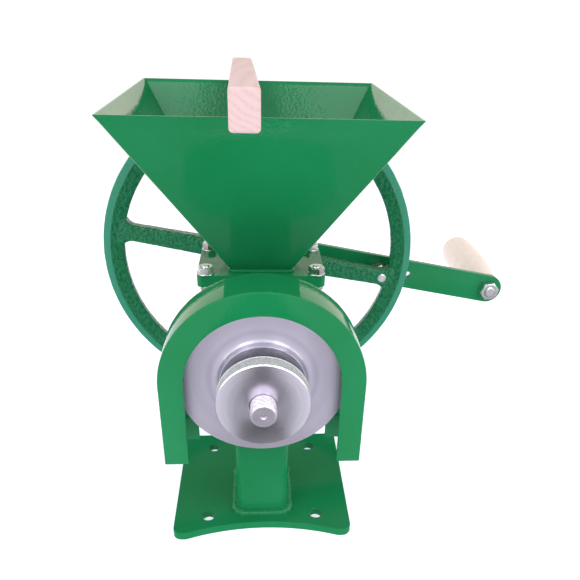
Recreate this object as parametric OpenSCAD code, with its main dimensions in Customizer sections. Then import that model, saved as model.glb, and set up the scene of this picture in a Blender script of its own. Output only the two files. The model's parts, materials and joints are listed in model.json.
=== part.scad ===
// Hand-cranked burr mill on a welded pedestal: square hopper, adjustable burrs
// under an arched guard, and a cast flywheel with a bolted-on crank arm.
// Origin: centre of the base plate's underside. The burrs face -Y, the flywheel
// sits at +Y, and the crank arm points to +X.

/* [Base] */
// Width of the base plate, left to right
base_w = 165; // [150:1:190]
// Depth of the base plate, front to back
base_d = 146; // [138:1:160]
// Thickness of the base plate
base_t = 8; // [6:0.5:12]
// Spacing of the four fixing holes, both ways
base_pitch = 102; // [98:1:106]
// Diameter of a fixing hole
base_hole = 12; // [8:0.5:14]
// Depth of the hollowed front edge
base_sag = 12; // [4:1:14]

/* [Pedestal] */
// Width of the pedestal tube
post_w = 48; // [44:1:52]
// Depth of the pedestal tube
post_d = 64; // [56:1:70]
// Wall of the pedestal tube
post_wall = 4; // [3:0.5:5]
// Front-to-back position of the pedestal's centre
post_y = -17; // [-20:1:-14]
// Leg of the weld bead round the pedestal's foot
weld_leg = 6; // [3:0.5:7]

/* [Milling head] */
// Height of the shaft's centre line above the bench
axis_z = 198; // [190:1:210]
// Outer radius of the housing tube
tube_r = 30; // [28:0.5:32]
// Radius of the bore that the auger turns in
auger_bore_r = 22.5; // [21:0.5:23.5]
// Outer radius of the housing's burr flange
burr_flange_r = 51.5; // [50:0.5:53]
// Radius of the shaft
shaft_r = 10; // [10:1:10]
// Outer radius of both burrs
burr_r = 47; // [44:1:47]
// Gap between the burrs as the mill stands
burr_gap = 0.6; // [0.5:0.05:1]
// Radius of the burr carrier's disc
carrier_r = 62.8; // [58:0.2:64]
// Radius of the adjusting knob
knob_r = 32.2; // [28:0.2:36]
// Radius of the threaded nose
nose_r = 9; // [8:0.5:9]

/* [Guard] */
// Outer radius of the guard's arch, and half its outer width
guard_r = 73; // [70:0.5:78]
// Half the width of the guard's front opening
guard_in_r = 55.5; // [50:0.5:58]
// Depth of the guard, front to back
guard_d = 32.6; // [31:0.2:34]
// How far the guard's legs reach below the shaft's centre line
guard_leg = 67; // [40:1:90]
// Sheet thickness of the guard
guard_t = 3; // [2.6:0.1:3]

/* [Hopper] */
// Width of the hopper's mouth
mouth_w = 195; // [150:1:240]
// Depth of the hopper's mouth
mouth_d = 189; // [184:1:194]
// Height of the hopper's sheet-metal funnel
hopper_h = 125; // [115:1:135]
// Width of the funnel's square foot
foot_w = 46; // [44:1:48]
// Sheet thickness of the hopper
sheet_t = 1.6; // [1:0.1:2]
// Width of the bolted flanges
flange_w = 100; // [96:1:106]
// Depth of the bolted flanges
flange_d = 64; // [60:1:68]
// Front-to-back position of the hopper's centre
hopper_y = -7; // [-9:1:-5]

/* [Flywheel and crank] */
// Outer radius of the flywheel
wheel_r = 160; // [150:1:175]
// Radial width of the flywheel's rim
rim_w = 20.4; // [16:0.2:26]
// Front-to-back thickness of the rim
rim_t = 14.3; // [13.2:0.1:15]
// Front plane of the flywheel
wheel_y = 128.4; // [128:0.2:129]
// Angle of the crank below the horizontal at rest
crank_drop = 10.5; // [0:0.5:30]
// Height of the flat crank arm
arm_h = 32; // [28:1:36]
// Distance from the shaft to the grip's bolt
throw = 268; // [240:1:280]
// Front plane of the crank arm
arm_y = 156.5; // [156:0.5:158]
// Largest radius of the grip
grip_r = 20.4; // [16:0.2:22]
// Length of the grip
grip_len = 122; // [110:1:130]

/* [Hopper bar] */
// Width of the wooden bar
bar_w = 16.2; // [10:0.2:22]
// Height of the wooden bar
bar_h = 21.8; // [14:0.2:28]
// Length of the wooden bar
bar_len = 242.6; // [200:0.2:242.6]
// How far the bar's front end stands out past the hopper's rim
bar_out = 59; // [40:1:70]
// Sideways position of the bar where it crosses the hopper's front rim
bar_x = -10.4; // [-30:0.2:30]
// How far the bar leans down towards its back end
bar_tilt = 1.4; // [1.4:0.1:1.6]
// How far the bar lies askew
bar_skew = 1.2; // [-2:0.1:2]

/* [Hidden] */
$fn = 96;

green = [0.14, 0.55, 0.31];
dark_green = [0.10, 0.42, 0.23];
steel = [0.72, 0.70, 0.75];
zinc = [0.80, 0.79, 0.80];
iron = [0.45, 0.44, 0.45];
birch = [0.93, 0.84, 0.76];
pine = [0.90, 0.76, 0.66];
rubber = [0.12, 0.12, 0.12];
bronze = [0.72, 0.53, 0.30];

// Gaps between pieces
apart = 0.3;          // bodies that move against each other
fit = 0.05;           // radial clearance of a running fit

// Stations along the shaft, front to back
guard_y = -121.6;     // front plane of the guard
nose_y = -156;        // end of the threaded nose
knob_y = -144;        // face of the adjusting knob
boss_y = -118;        // front of the carrier's boss
disc_y = -110.4;      // front of the carrier's disc
disc_t = 8;
washer_r = 17;        // washer between the carrier and the knob
washer_t = 2;
burr_t = 6;
rotor_y = disc_y + disc_t;                       // back of the carrier's disc
stator_y = rotor_y + burr_t + burr_gap;          // face of the fixed burr
stator_seat_y = stator_y + burr_t;
housing_y = -94;      // front lip of the housing
tube_end_y = 94;      // back end of the housing
throat_back_y = 20;   // end of the auger's bore
seal_w = 6;
bearing_w = 12;
bearing_y = [throat_back_y + seal_w, tube_end_y - bearing_w];
cap_t = 5;
hub_y = 108;          // front of the flywheel's hub
hub_t = 42;
hub_r = 24;
nut16_t = 13;
tail_y = hub_y + hub_t + 2.5 + nut16_t + 3;      // back end of the shaft

// Bearings: 20 x 42 x 12
race_out_r = 21;
ball_r = 3.2;
ball_pitch_r = 15.5;
balls_per_race = 9;

// Guard seat on the housing's flange
seat_r = 49.3;
guard_back_t = 2.6;
guard_back_r = seat_r + apart;
guard_rear_y = guard_y + guard_d;
seat_y0 = guard_rear_y - guard_back_t - apart;
seat_y1 = guard_rear_y + apart;

// Flange stack between the throat and the hopper
hopper_flange_t = 3.6;
gasket_t = 1.2;
throat_flange_t = 4.6;
foot_z = axis_z + 49.4;                          // top of the hopper's flange
gasket_z = foot_z - hopper_flange_t - gasket_t;
throat_z = gasket_z - throat_flange_t;
mouth_z = foot_z + hopper_h;
chute_w = 42;
chute_d = 40;
flange_pitch = [86, 53.6];
bolt_r = 3.2;

// Flywheel and crank
rim_in_r = wheel_r - rim_w;
rim_back_y = wheel_y + rim_t;
lip_w = 7;
dish = 5;
spoke_y = wheel_y + 2.2;
spoke_t = 13;
arm_t = 6;
arm_bolt_r = [58, 134.5];
arm_in_r = 42;
arm_hole_r = 170;
grip_y = 169;
handle_nut_t = 8.5;
jam_t = 4.4;
grip_end_y = grip_y + grip_len;
head_depth = 9;

// ---------------------------------------------------------------- helpers

// Stands its children's Z axis along the shaft, starting at station y
module along_shaft(y = 0) {
    translate([0, y, axis_z]) rotate([-90, 0, 0]) children();
}

// The same, turned so that X runs along the crank arm
module along_crank(y = 0) {
    along_shaft(y) rotate([0, 0, crank_drop]) children();
}

// Ring round the shaft between two stations
module ring(y0, y1, r_out, r_in) {
    along_shaft(y0) difference() {
        cylinder(r = r_out, h = y1 - y0);
        translate([0, 0, -1]) cylinder(r = r_in, h = y1 - y0 + 2);
    }
}

// Rectangle with round corners, centred
module round_rect(w, d, r) {
    for (x = [-1, 1], y = [-1, 1])
        translate([x * (w / 2 - r), y * (d / 2 - r)]) circle(r = r);
    square([w - 2 * r, d], center = true);
    square([w, d - 2 * r], center = true);
}

// Hexagon across flats af, standing on z = 0
module hex(af, h) {
    cylinder(r = af / sqrt(3), h = h, $fn = 6);
}

// Puts its children at the flange's four bolts
module at_flange_bolts() {
    for (x = [-1, 1], y = [-1, 1])
        translate([x * flange_pitch[0] / 2, hopper_y + y * flange_pitch[1] / 2, 0]) children();
}

// Flange plate with the chute's opening and four bolt holes
module flange_plate(z, t) {
    difference() {
        translate([0, hopper_y, z]) linear_extrude(t) round_rect(flange_w, flange_d, 4);
        translate([-chute_w / 2, hopper_y - chute_d / 2, z - 1]) cube([chute_w, chute_d, t + 2]);
        at_flange_bolts() translate([0, 0, z - 1]) cylinder(r = bolt_r, h = t + 2);
    }
}

// Inverted U, drawn with its arch's centre on the shaft (local y points down)
module inverted_u(r_out, r_in, leg) {
    difference() {
        union() {
            intersection() {
                circle(r = r_out);
                translate([-r_out, -r_out]) square([2 * r_out, r_out + 1]);
            }
            translate([-r_out, 0]) square([2 * r_out, leg]);
        }
        circle(r = r_in);
        translate([-r_in, 0]) square([2 * r_in, leg + 1]);
    }
}

// Radial grinding grooves cut into a burr's face, round the local Z axis
module burr_grooves(r_in, count, depth, width) {
    for (i = [0 : count - 1])
        rotate([0, 0, i * 360 / count])
            translate([r_in, -width / 2 + 4, -1]) cube([burr_r, width, depth + 1]);
}

// ---------------------------------------------------------------- frame

module base_plate() {
    half_w = base_w / 2;
    chord = half_w - 12;
    arc_r = (chord * chord + base_sag * base_sag) / (2 * base_sag);
    color(green) difference() {
        linear_extrude(base_t) round_rect(base_w, base_d, 8);
        translate([0, base_sag - base_d / 2 - arc_r, -1]) cylinder(r = arc_r, h = base_t + 2);
        for (x = [-1, 1], y = [-1, 1])
            translate([x * base_pitch / 2, y * base_pitch / 2, -1])
                cylinder(d = base_hole, h = base_t + 2);
    }
}

module pedestal_post() {
    color(green) difference() {
        translate([0, post_y, base_t]) linear_extrude(axis_z - base_t) difference() {
            round_rect(post_w, post_d, 8);
            round_rect(post_w - 2 * post_wall, post_d - 2 * post_wall, 4);
        }
        along_shaft(post_y - post_d) cylinder(r = tube_r, h = 2 * post_d);
    }
}

module post_weld() {
    color(dark_green) translate([0, post_y, base_t]) difference() {
        union() {
            linear_extrude(weld_leg * 0.5)
                round_rect(post_w + 2 * weld_leg, post_d + 2 * weld_leg, 8 + weld_leg);
            linear_extrude(weld_leg)
                round_rect(post_w + weld_leg, post_d + weld_leg, 8 + weld_leg / 2);
        }
        translate([0, 0, -1]) linear_extrude(weld_leg + 2) round_rect(post_w, post_d, 8);
    }
}

module mill_housing() {
    color(green) difference() {
        union() {
            ring(housing_y, seat_y0, burr_flange_r, 1);
            ring(seat_y0, seat_y1, seat_r, 1);
            ring(seat_y1, seat_y1 + 7, burr_flange_r, 1);
            ring(seat_y1 + 7, tube_end_y, tube_r, 1);
            translate([-chute_w / 2 - 6, hopper_y - chute_d / 2 - 5, axis_z])
                cube([chute_w + 12, chute_d + 10, throat_z - axis_z]);
        }
        along_shaft(housing_y - 1) cylinder(r = burr_r + 0.1, h = stator_seat_y - housing_y + 1);
        along_shaft(housing_y) cylinder(r = auger_bore_r, h = throat_back_y - housing_y);
        along_shaft(throat_back_y - 1) cylinder(r = 14, h = seal_w + 2);
        along_shaft(bearing_y[0]) cylinder(r = race_out_r, h = tube_end_y - bearing_y[0] + 1);
        translate([-chute_w / 2, hopper_y - chute_d / 2, axis_z])
            cube([chute_w, chute_d, throat_z - axis_z + 1]);
        for (a = [45 : 90 : 315])
            along_shaft(tube_end_y - 12) rotate([0, 0, a]) translate([25.5, 0, 0])
                cylinder(r = 2.5, h = 13);
        for (a = [90 : 120 : 330])
            along_shaft(stator_seat_y - 1) rotate([0, 0, a]) translate([35, 0, 0])
                cylinder(r = 2, h = 9);
    }
}

module throat_flange() {
    color(green) flange_plate(throat_z, throat_flange_t);
}

module throat_gasket() {
    color(rubber) flange_plate(gasket_z, gasket_t);
}

module hopper_flange() {
    color(green) flange_plate(foot_z - hopper_flange_t, hopper_flange_t);
}

// Four-sided funnel between its foot and its mouth, drawn in by inset on each side
module funnel(inset, below, above) {
    slope_w = (mouth_w - foot_w) / hopper_h;
    slope_d = (mouth_d - foot_w) / hopper_h;
    hull() {
        translate([0, hopper_y, foot_z - below]) linear_extrude(0.01)
            square([foot_w - 2 * inset - below * slope_w, foot_w - 2 * inset - below * slope_d],
                   center = true);
        translate([0, hopper_y, mouth_z + above - 0.01]) linear_extrude(0.01)
            square([mouth_w - 2 * inset + above * slope_w, mouth_d - 2 * inset + above * slope_d],
                   center = true);
    }
}

module hopper() {
    color(green) difference() {
        funnel(0, 0, 0);
        funnel(sheet_t * 1.25, 1, 1);
    }
}

module flange_bolts() {
    head_t = 4;
    color(zinc) at_flange_bolts() {
        translate([0, 0, throat_z - head_t]) hex(10, head_t);
        translate([0, 0, throat_z - 1]) cylinder(r = bolt_r, h = foot_z + 8 - throat_z);
    }
}

module flange_washers() {
    color(zinc) at_flange_bolts() translate([0, 0, foot_z]) difference() {
        cylinder(r = 6.6, h = 1);
        translate([0, 0, -1]) cylinder(r = bolt_r, h = 3);
    }
}

module flange_nuts() {
    color(zinc) at_flange_bolts() translate([0, 0, foot_z + 1]) difference() {
        hex(11, 5);
        translate([0, 0, -1]) cylinder(r = bolt_r, h = 7);
    }
}

// ---------------------------------------------------------------- fixed parts of the head

module stationary_burr() {
    color(iron) along_shaft(stator_y) difference() {
        cylinder(r = burr_r, h = burr_t);
        translate([0, 0, -1]) cylinder(r = auger_bore_r, h = burr_t + 2);
        burr_grooves(auger_bore_r - 3, 16, 1.4, 2.2);
        for (a = [90 : 120 : 330]) rotate([0, 0, a]) translate([35, 0, 0]) {
            translate([0, 0, -1]) cylinder(r = 2, h = burr_t + 2);
            translate([0, 0, -1]) cylinder(r = 4, h = 4);
        }
    }
}

module stator_screws() {
    color(zinc) for (a = [90 : 120 : 330])
        along_shaft(stator_y + 1.6) rotate([0, 0, a]) translate([35, 0, 0]) {
            cylinder(r = 3.9, h = 1.4);
            cylinder(r = 2, h = 12);
        }
}

module shaft_seal() {
    color(rubber) ring(throat_back_y, throat_back_y + seal_w, 14, shaft_r + fit);
}

// One bearing race with its ball groove
module race(y, r_out, r_in) {
    along_shaft(y) difference() {
        cylinder(r = r_out, h = bearing_w);
        translate([0, 0, -1]) cylinder(r = r_in, h = bearing_w + 2);
        translate([0, 0, bearing_w / 2]) rotate_extrude()
            translate([ball_pitch_r, 0]) circle(r = ball_r + 0.08);
    }
}

module bearing_outer_races() {
    color(steel) for (y = bearing_y) race(y, race_out_r, 17.9);
}

module bearing_spacer() {
    color(steel) ring(bearing_y[0] + bearing_w, bearing_y[1], race_out_r, 18.4);
}

module bearing_cap() {
    color(green) difference() {
        ring(tube_end_y, tube_end_y + cap_t, tube_r, 14.5);
        for (a = [45 : 90 : 315])
            along_shaft(tube_end_y - 1) rotate([0, 0, a]) translate([25.5, 0, 0])
                cylinder(r = 2.5, h = cap_t + 2);
    }
}

module cap_screws() {
    color(zinc) for (a = [45 : 90 : 315])
        along_shaft(tube_end_y - 11) rotate([0, 0, a]) translate([25.5, 0, 0]) {
            cylinder(r = 2.5, h = 11 + cap_t);
            translate([0, 0, 11 + cap_t]) difference() {
                cylinder(r = 4.2, h = 4);
                translate([0, 0, 1.5]) hex(4, 4);
            }
        }
}

// ---------------------------------------------------------------- what turns with the shaft

module main_shaft() {
    color(steel) difference() {
        along_shaft() rotate_extrude() polygon([
            [0, nose_y], [nose_r - 1.2, nose_y], [nose_r, nose_y + 1.2],
            [nose_r, boss_y + 1.5], [shaft_r, boss_y + 1.5], [shaft_r, hub_y],
            [9, hub_y], [9, hub_y + hub_t], [8, hub_y + hub_t], [8, tail_y - 1],
            [7, tail_y], [0, tail_y]
        ]);
        along_shaft(nose_y - 0.01) cylinder(r1 = 2, r2 = 0.6, h = 3);
        translate([-2.5, boss_y + 2, axis_z + shaft_r - 2.5]) cube([5, 18, 3]);
        translate([-2.5, hub_y + 6, axis_z + 9 - 2.5]) cube([5, 28, 3]);
        translate([0, -35, axis_z]) cylinder(r = 2, h = 40, center = true);
    }
}

// Helical blade round the local Z axis, winding left-handed
module helical_blade(r_in, r_out, t, length, turns) {
    steps = 24 * turns;
    rise = (length - t) / steps;
    points = [
        for (i = [0 : steps], corner = [[r_in, 0], [r_out, 0], [r_out, t], [r_in, t]])
            let (a = -360 * turns * i / steps)
                [corner[0] * cos(a), corner[0] * sin(a), corner[1] + i * rise]
    ];
    sides = [
        for (i = [0 : steps - 1], k = [0 : 3], half = [0, 1])
            let (p = 4 * i + k, q = 4 * i + (k + 1) % 4)
                half == 0 ? [p, q + 4, q] : [p, p + 4, q + 4]
    ];
    last = 4 * steps;
    ends = [[0, 1, 2], [0, 2, 3], [last, last + 2, last + 1], [last, last + 3, last + 2]];
    polyhedron(points, concat(sides, ends), convexity = 8);
}

// Screw that carries the grain from the throat to the burrs
module feed_auger() {
    length = throat_back_y - stator_y - 2;
    root_r = 12.6;
    color(iron) along_shaft(stator_y + 1) {
        difference() {
            cylinder(r = root_r, h = length);
            translate([0, 0, -1]) cylinder(r = shaft_r, h = length + 2);
            translate([0, 0, -35 - stator_y - 1]) rotate([90, 0, 0])
                cylinder(r = 2, h = 40, center = true);
        }
        helical_blade(root_r - 1, auger_bore_r - 1, 4, length, 3);
    }
}

module auger_pin() {
    color(steel) translate([0, -35, axis_z]) cylinder(r = 2, h = 25.6, center = true);
}

module bearing_inner_races() {
    color(steel) for (y = bearing_y) race(y, 13.1, shaft_r);
}

module bearing_balls() {
    color(steel) for (y = bearing_y, i = [0 : balls_per_race - 1])
        along_shaft(y + bearing_w / 2) rotate([0, 0, i * 360 / balls_per_race])
            translate([ball_pitch_r, 0, 0]) sphere(r = ball_r);
}

module inner_spacer() {
    color(steel) ring(bearing_y[0] + bearing_w, bearing_y[1], 12.8, shaft_r);
}

module hub_sleeve() {
    color(steel) ring(tube_end_y, hub_y, 14, shaft_r);
}

module carrier_key() {
    color(steel) translate([-2.5, boss_y + 2, axis_z + shaft_r - 2.5]) cube([5, 18, 5]);
}

// Cross-section of the rim, radius against depth behind the front plane
module rim_section() {
    polygon([
        [wheel_r - 1, 0], [wheel_r - lip_w, 0], [rim_in_r, dish], [rim_in_r + 1, rim_t],
        [wheel_r - 1, rim_t], [wheel_r, rim_t - 1], [wheel_r, 1]
    ]);
}

// Tapered spoke along the local X axis
module spoke() {
    linear_extrude(spoke_t) polygon([
        [hub_r - 2, -10.4], [rim_in_r + 8, -8.1], [rim_in_r + 8, 8.1], [hub_r - 2, 10.4]
    ]);
}

module flywheel() {
    color(green) difference() {
        union() {
            along_shaft(wheel_y) rotate_extrude() rim_section();
            along_crank(spoke_y) for (a = [0 : 90 : 270]) rotate([0, 0, a]) spoke();
            along_shaft(hub_y) cylinder(r = hub_r, h = hub_t);
        }
        along_shaft(hub_y - 1) cylinder(r = 9, h = hub_t + 2);
        translate([-2.5, hub_y - 1, axis_z]) cube([5, hub_t + 2, 11.6]);
        along_crank(spoke_y - 4) for (r = arm_bolt_r) translate([r, 0, 0])
            cylinder(r = 5, h = spoke_t + 8);
    }
}

module wheel_key() {
    color(steel) translate([-2.5, hub_y + 6, axis_z + 6.5]) cube([5, 28, 5]);
}

module wheel_washer() {
    color(zinc) ring(hub_y + hub_t, hub_y + hub_t + 2.5, 15, 8);
}

module wheel_nut() {
    color(zinc) along_shaft(hub_y + hub_t + 2.5) difference() {
        hex(24, nut16_t);
        translate([0, 0, -1]) cylinder(r = 8, h = nut16_t + 2);
    }
}

module crank_arm() {
    color(green) along_crank(arm_y) difference() {
        union() {
            translate([arm_in_r, -arm_h / 2, 0]) cube([throw - arm_in_r, arm_h, arm_t]);
            translate([throw, 0, 0]) cylinder(d = arm_h, h = arm_t);
        }
        for (r = arm_bolt_r) translate([r, 0, -1]) cylinder(r = 5, h = arm_t + 2);
        translate([arm_hole_r, 0, -1]) cylinder(r = 3.5, h = arm_t + 2);
        translate([throw, 0, -1]) cylinder(r = 6, h = arm_t + 2);
    }
}

module arm_spacers() {
    y0 = spoke_y + spoke_t;
    color(zinc) along_crank(y0) for (r = arm_bolt_r) translate([r, 0, 0]) difference() {
        hex(17, arm_y - y0);
        translate([0, 0, -1]) cylinder(r = 5, h = arm_y - y0 + 2);
    }
}

module arm_bolts() {
    y0 = spoke_y - 1;
    color(zinc) along_crank(y0) for (r = arm_bolt_r) translate([r, 0, 0]) {
        cylinder(r = 5, h = arm_y + arm_t - y0);
        translate([0, 0, arm_y + arm_t - y0]) hex(16, 6.4);
    }
}

module handle_bolt() {
    head_y = grip_end_y - head_depth + apart;
    color(zinc) along_crank(0) translate([throw, 0, 0]) {
        translate([0, 0, arm_y - handle_nut_t - 1.8])
            cylinder(r = 6, h = head_y - arm_y + handle_nut_t + 1.8);
        translate([0, 0, head_y]) hex(18, 7.5);
    }
}

module handle_nut() {
    color(zinc) along_crank(arm_y - handle_nut_t) translate([throw, 0, 0]) difference() {
        rotate([0, 0, 10]) hex(19, handle_nut_t);
        translate([0, 0, -1]) cylinder(r = 6, h = handle_nut_t + 2);
    }
}

module handle_jam_nut() {
    color(zinc) along_crank(arm_y + arm_t) translate([throw, 0, 0]) difference() {
        hex(19, jam_t);
        translate([0, 0, -1]) cylinder(r = 6, h = jam_t + 2);
    }
}

module handle_washer() {
    y0 = arm_y + arm_t + jam_t;
    color(zinc) along_crank(y0) translate([throw, 0, 0]) difference() {
        cylinder(r = 12, h = grip_y - apart - y0);
        translate([0, 0, -1]) cylinder(r = 6, h = grip_y - y0 + 2);
    }
}

// ---------------------------------------------------------------- what the knob moves

module burr_carrier() {
    boss_r = 31;
    blend = 6;
    color(steel) difference() {
        along_shaft() rotate_extrude() polygon(concat(
            [[shaft_r + fit, boss_y], [boss_r - 1, boss_y], [boss_r, boss_y + 1]],
            [for (a = [0 : 15 : 90])
                [boss_r + blend - blend * cos(a), disc_y - blend + blend * sin(a)]],
            [[carrier_r - 1, disc_y], [carrier_r, disc_y + 1], [carrier_r, rotor_y],
             [20, rotor_y], [20, rotor_y + 2], [shaft_r + fit, rotor_y + 2]]
        ));
        translate([-2.6, boss_y - 1, axis_z]) cube([5.2, 22, shaft_r + 2.6]);
        for (a = [30 : 120 : 270])
            along_shaft(disc_y + 3) rotate([0, 0, a]) translate([35, 0, 0])
                cylinder(r = 2, h = disc_t);
    }
}

module rotating_burr() {
    color(iron) along_shaft(rotor_y) difference() {
        cylinder(r = burr_r, h = burr_t);
        translate([0, 0, -1]) cylinder(r = 20, h = burr_t + 2);
        translate([0, 0, burr_t]) mirror([0, 0, 1]) burr_grooves(17, 16, 1.4, 2.2);
        for (a = [30 : 120 : 270]) rotate([0, 0, a]) translate([35, 0, 0]) {
            translate([0, 0, -1]) cylinder(r = 2, h = burr_t + 2);
            translate([0, 0, burr_t - 3]) cylinder(r = 4, h = 4);
        }
    }
}

module rotor_screws() {
    color(zinc) for (a = [30 : 120 : 270])
        along_shaft(disc_y + 4) rotate([0, 0, a]) translate([35, 0, 0]) {
            cylinder(r = 2, h = disc_t - 4 + burr_t - 3);
            translate([0, 0, disc_t - 4 + burr_t - 3]) cylinder(r = 3.9, h = 1.4);
        }
}

module thrust_washer() {
    color(bronze) ring(boss_y - washer_t, boss_y, washer_r, nose_r + apart);
}

// Knurled ring and collar on the nose's thread, with a recess behind for the washer
module adjusting_knob() {
    back_y = boss_y - apart;
    recess_y = back_y - washer_t;
    color(steel) along_shaft() rotate_extrude() polygon([
        [nose_r + fit + 0.8, knob_y], [knob_r - 0.6, knob_y], [knob_r, knob_y + 0.6],
        [knob_r, knob_y + 11.4], [knob_r - 0.6, knob_y + 12], [knob_r - 2.6, knob_y + 12],
        [knob_r - 2.6, knob_y + 13.4], [knob_r - 1.8, knob_y + 13.4],
        [knob_r - 1.8, back_y], [washer_r + apart, back_y],
        [washer_r + apart, recess_y], [nose_r + fit, recess_y], [nose_r + fit, knob_y + 0.8]
    ]);
}

// Radius of the grip at t, from 0 at the arm to 1 at its free end: it swells to the
// middle, draws in a little beyond it, and six low rings run round it
function grip_radius(t) =
    (0.74 + 0.26 * sin(90 * min(1, t / 0.55)) - 0.10 * pow(max(0, t - 0.55) / 0.45, 2)
    + 0.03 * cos(360 * 6 * t)) * grip_r / 1.03;

module hand_grip() {
    steps = 48;
    edge = 2;
    dome = 8;
    rounding = dome / grip_len;
    color(birch) along_crank(grip_y) translate([throw, 0, 0]) difference() {
        rotate_extrude() polygon(concat(
            [[0, 0], [grip_radius(0) - edge, 0]],
            [for (i = [1 : steps]) let (t = (1 - rounding) * i / steps)
                [grip_radius(t), t * grip_len]],
            [for (a = [15 : 15 : 90])
                [grip_radius(1) - dome + dome * cos(a), grip_len - dome + dome * sin(a)]],
            [[0, grip_len]]
        ));
        translate([0, 0, -1]) cylinder(r = 8, h = grip_len + 2);
        translate([0, 0, grip_len - head_depth]) cylinder(r = 11.5, h = head_depth + 1);
    }
}

module grip_sleeve() {
    color(bronze) along_crank(grip_y) translate([throw, 0, 0]) difference() {
        cylinder(r = 8, h = grip_len - head_depth);
        translate([0, 0, -1]) cylinder(r = 6 + fit, h = grip_len);
    }
}

// ---------------------------------------------------------------- guard and bar

module guard_front() {
    color(green) along_shaft(guard_y) linear_extrude(guard_t)
        inverted_u(guard_r, guard_in_r, guard_leg);
}

module guard_band() {
    color(green) along_shaft(guard_y + guard_t) linear_extrude(guard_d - guard_t - guard_back_t)
        inverted_u(guard_r, guard_r - guard_t, guard_leg);
}

module guard_back() {
    color(green) along_shaft(guard_rear_y - guard_back_t) linear_extrude(guard_back_t)
        inverted_u(guard_r, guard_back_r, guard_leg);
}

// The bar rests on the hopper's front rim and leans down inside its back wall
module hopper_bar() {
    rim_y = hopper_y - mouth_d / 2;
    color(pine) translate([bar_x, rim_y, mouth_z + apart]) rotate([-bar_tilt, 0, bar_skew])
        translate([-bar_w / 2, -bar_out, 0]) cube([bar_w, bar_len, bar_h]);
}

base_plate();
pedestal_post();
post_weld();
mill_housing();
throat_flange();
throat_gasket();
hopper_flange();
hopper();
flange_bolts();
flange_washers();
flange_nuts();
stationary_burr();
stator_screws();
shaft_seal();
bearing_outer_races();
bearing_spacer();
bearing_cap();
cap_screws();
main_shaft();
feed_auger();
auger_pin();
bearing_inner_races();
bearing_balls();
inner_spacer();
hub_sleeve();
carrier_key();
flywheel();
wheel_key();
wheel_washer();
wheel_nut();
crank_arm();
arm_spacers();
arm_bolts();
handle_bolt();
handle_nut();
handle_jam_nut();
handle_washer();
burr_carrier();
rotating_burr();
rotor_screws();
thrust_washer();
adjusting_knob();
hand_grip();
grip_sleeve();
guard_front();
guard_band();
guard_back();
hopper_bar();
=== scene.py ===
import json
import math

import bmesh
import bpy
import numpy as np
from mathutils import Matrix, Vector


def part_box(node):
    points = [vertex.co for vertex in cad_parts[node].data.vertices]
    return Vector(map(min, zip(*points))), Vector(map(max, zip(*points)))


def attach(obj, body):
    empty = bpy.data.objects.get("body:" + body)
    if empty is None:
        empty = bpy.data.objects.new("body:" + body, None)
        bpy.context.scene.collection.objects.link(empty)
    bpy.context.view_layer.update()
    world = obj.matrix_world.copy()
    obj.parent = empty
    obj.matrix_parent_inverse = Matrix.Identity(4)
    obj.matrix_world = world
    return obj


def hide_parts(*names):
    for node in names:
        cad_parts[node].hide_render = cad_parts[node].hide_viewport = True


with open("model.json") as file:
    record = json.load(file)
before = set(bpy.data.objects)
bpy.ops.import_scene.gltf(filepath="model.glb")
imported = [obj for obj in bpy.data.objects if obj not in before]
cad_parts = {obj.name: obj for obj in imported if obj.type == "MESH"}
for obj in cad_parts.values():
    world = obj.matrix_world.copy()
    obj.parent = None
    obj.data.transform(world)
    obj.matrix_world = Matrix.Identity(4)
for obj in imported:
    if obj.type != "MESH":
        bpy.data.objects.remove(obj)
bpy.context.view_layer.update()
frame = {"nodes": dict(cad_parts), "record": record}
nodes = frame["nodes"]
slotOfNode = {part["node"]: part["material_slot"] for part in frame["record"]["subparts"]}
print("frame loaded:", len(nodes), "nodes")

mm = 0.001
full = 2 * math.pi


def spot(node):
    # Centre of a node's box.
    low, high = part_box(node)
    return (low + high) / 2


axisZ = spot("main_shaft").z
axisPoint = (0, 0, axisZ)
crankDrop = math.atan2(axisZ - spot("handle_nut").z, spot("handle_nut").x)  # the arm's angle below level
crispAngle = 35  # degrees between two faces past which their edge stays crisp
weldDistance = 1e-6  # points closer than this are one


# Shapes: outlines, grids of points and the meshes made from them.

def gridMesh(name, points, loopRows=False, loopCols=False, capRows=False, sharp=crispAngle):
    # A surface from a grid of points: neighbours on the grid are joined into quads.
    rows, cols = points.shape[:2]
    index = np.arange(rows * cols).reshape(rows, cols)
    ids = np.vstack([index, index[:1]]) if loopRows else index
    ids = np.hstack([ids, ids[:, :1]]) if loopCols else ids
    quads = np.stack([ids[:-1, :-1], ids[:-1, 1:], ids[1:, 1:], ids[1:, :-1]], axis=-1)
    faces = quads.reshape(-1, 4).tolist()
    if capRows:
        faces += [index[0][::-1].tolist(), index[-1].tolist()]
    mesh = bpy.data.meshes.new(name)
    mesh.from_pydata(points.reshape(-1, 3).tolist(), [], faces)
    return finishMesh(name, mesh, sharp)


def finishMesh(name, mesh, sharp=crispAngle):
    # Closes poles and seams, turns the faces outwards and keeps only the real edges crisp.
    work = bmesh.new()
    work.from_mesh(mesh)
    bmesh.ops.remove_doubles(work, verts=work.verts, dist=weldDistance)
    bmesh.ops.dissolve_degenerate(work, edges=work.edges, dist=weldDistance / 10)
    bmesh.ops.recalc_face_normals(work, faces=work.faces)
    work.to_mesh(mesh)
    work.free()
    mesh.shade_smooth()
    mesh.set_sharp_from_angle(angle=math.radians(sharp))
    piece = bpy.data.objects.new(name, mesh)
    bpy.context.scene.collection.objects.link(piece)
    return piece


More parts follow.
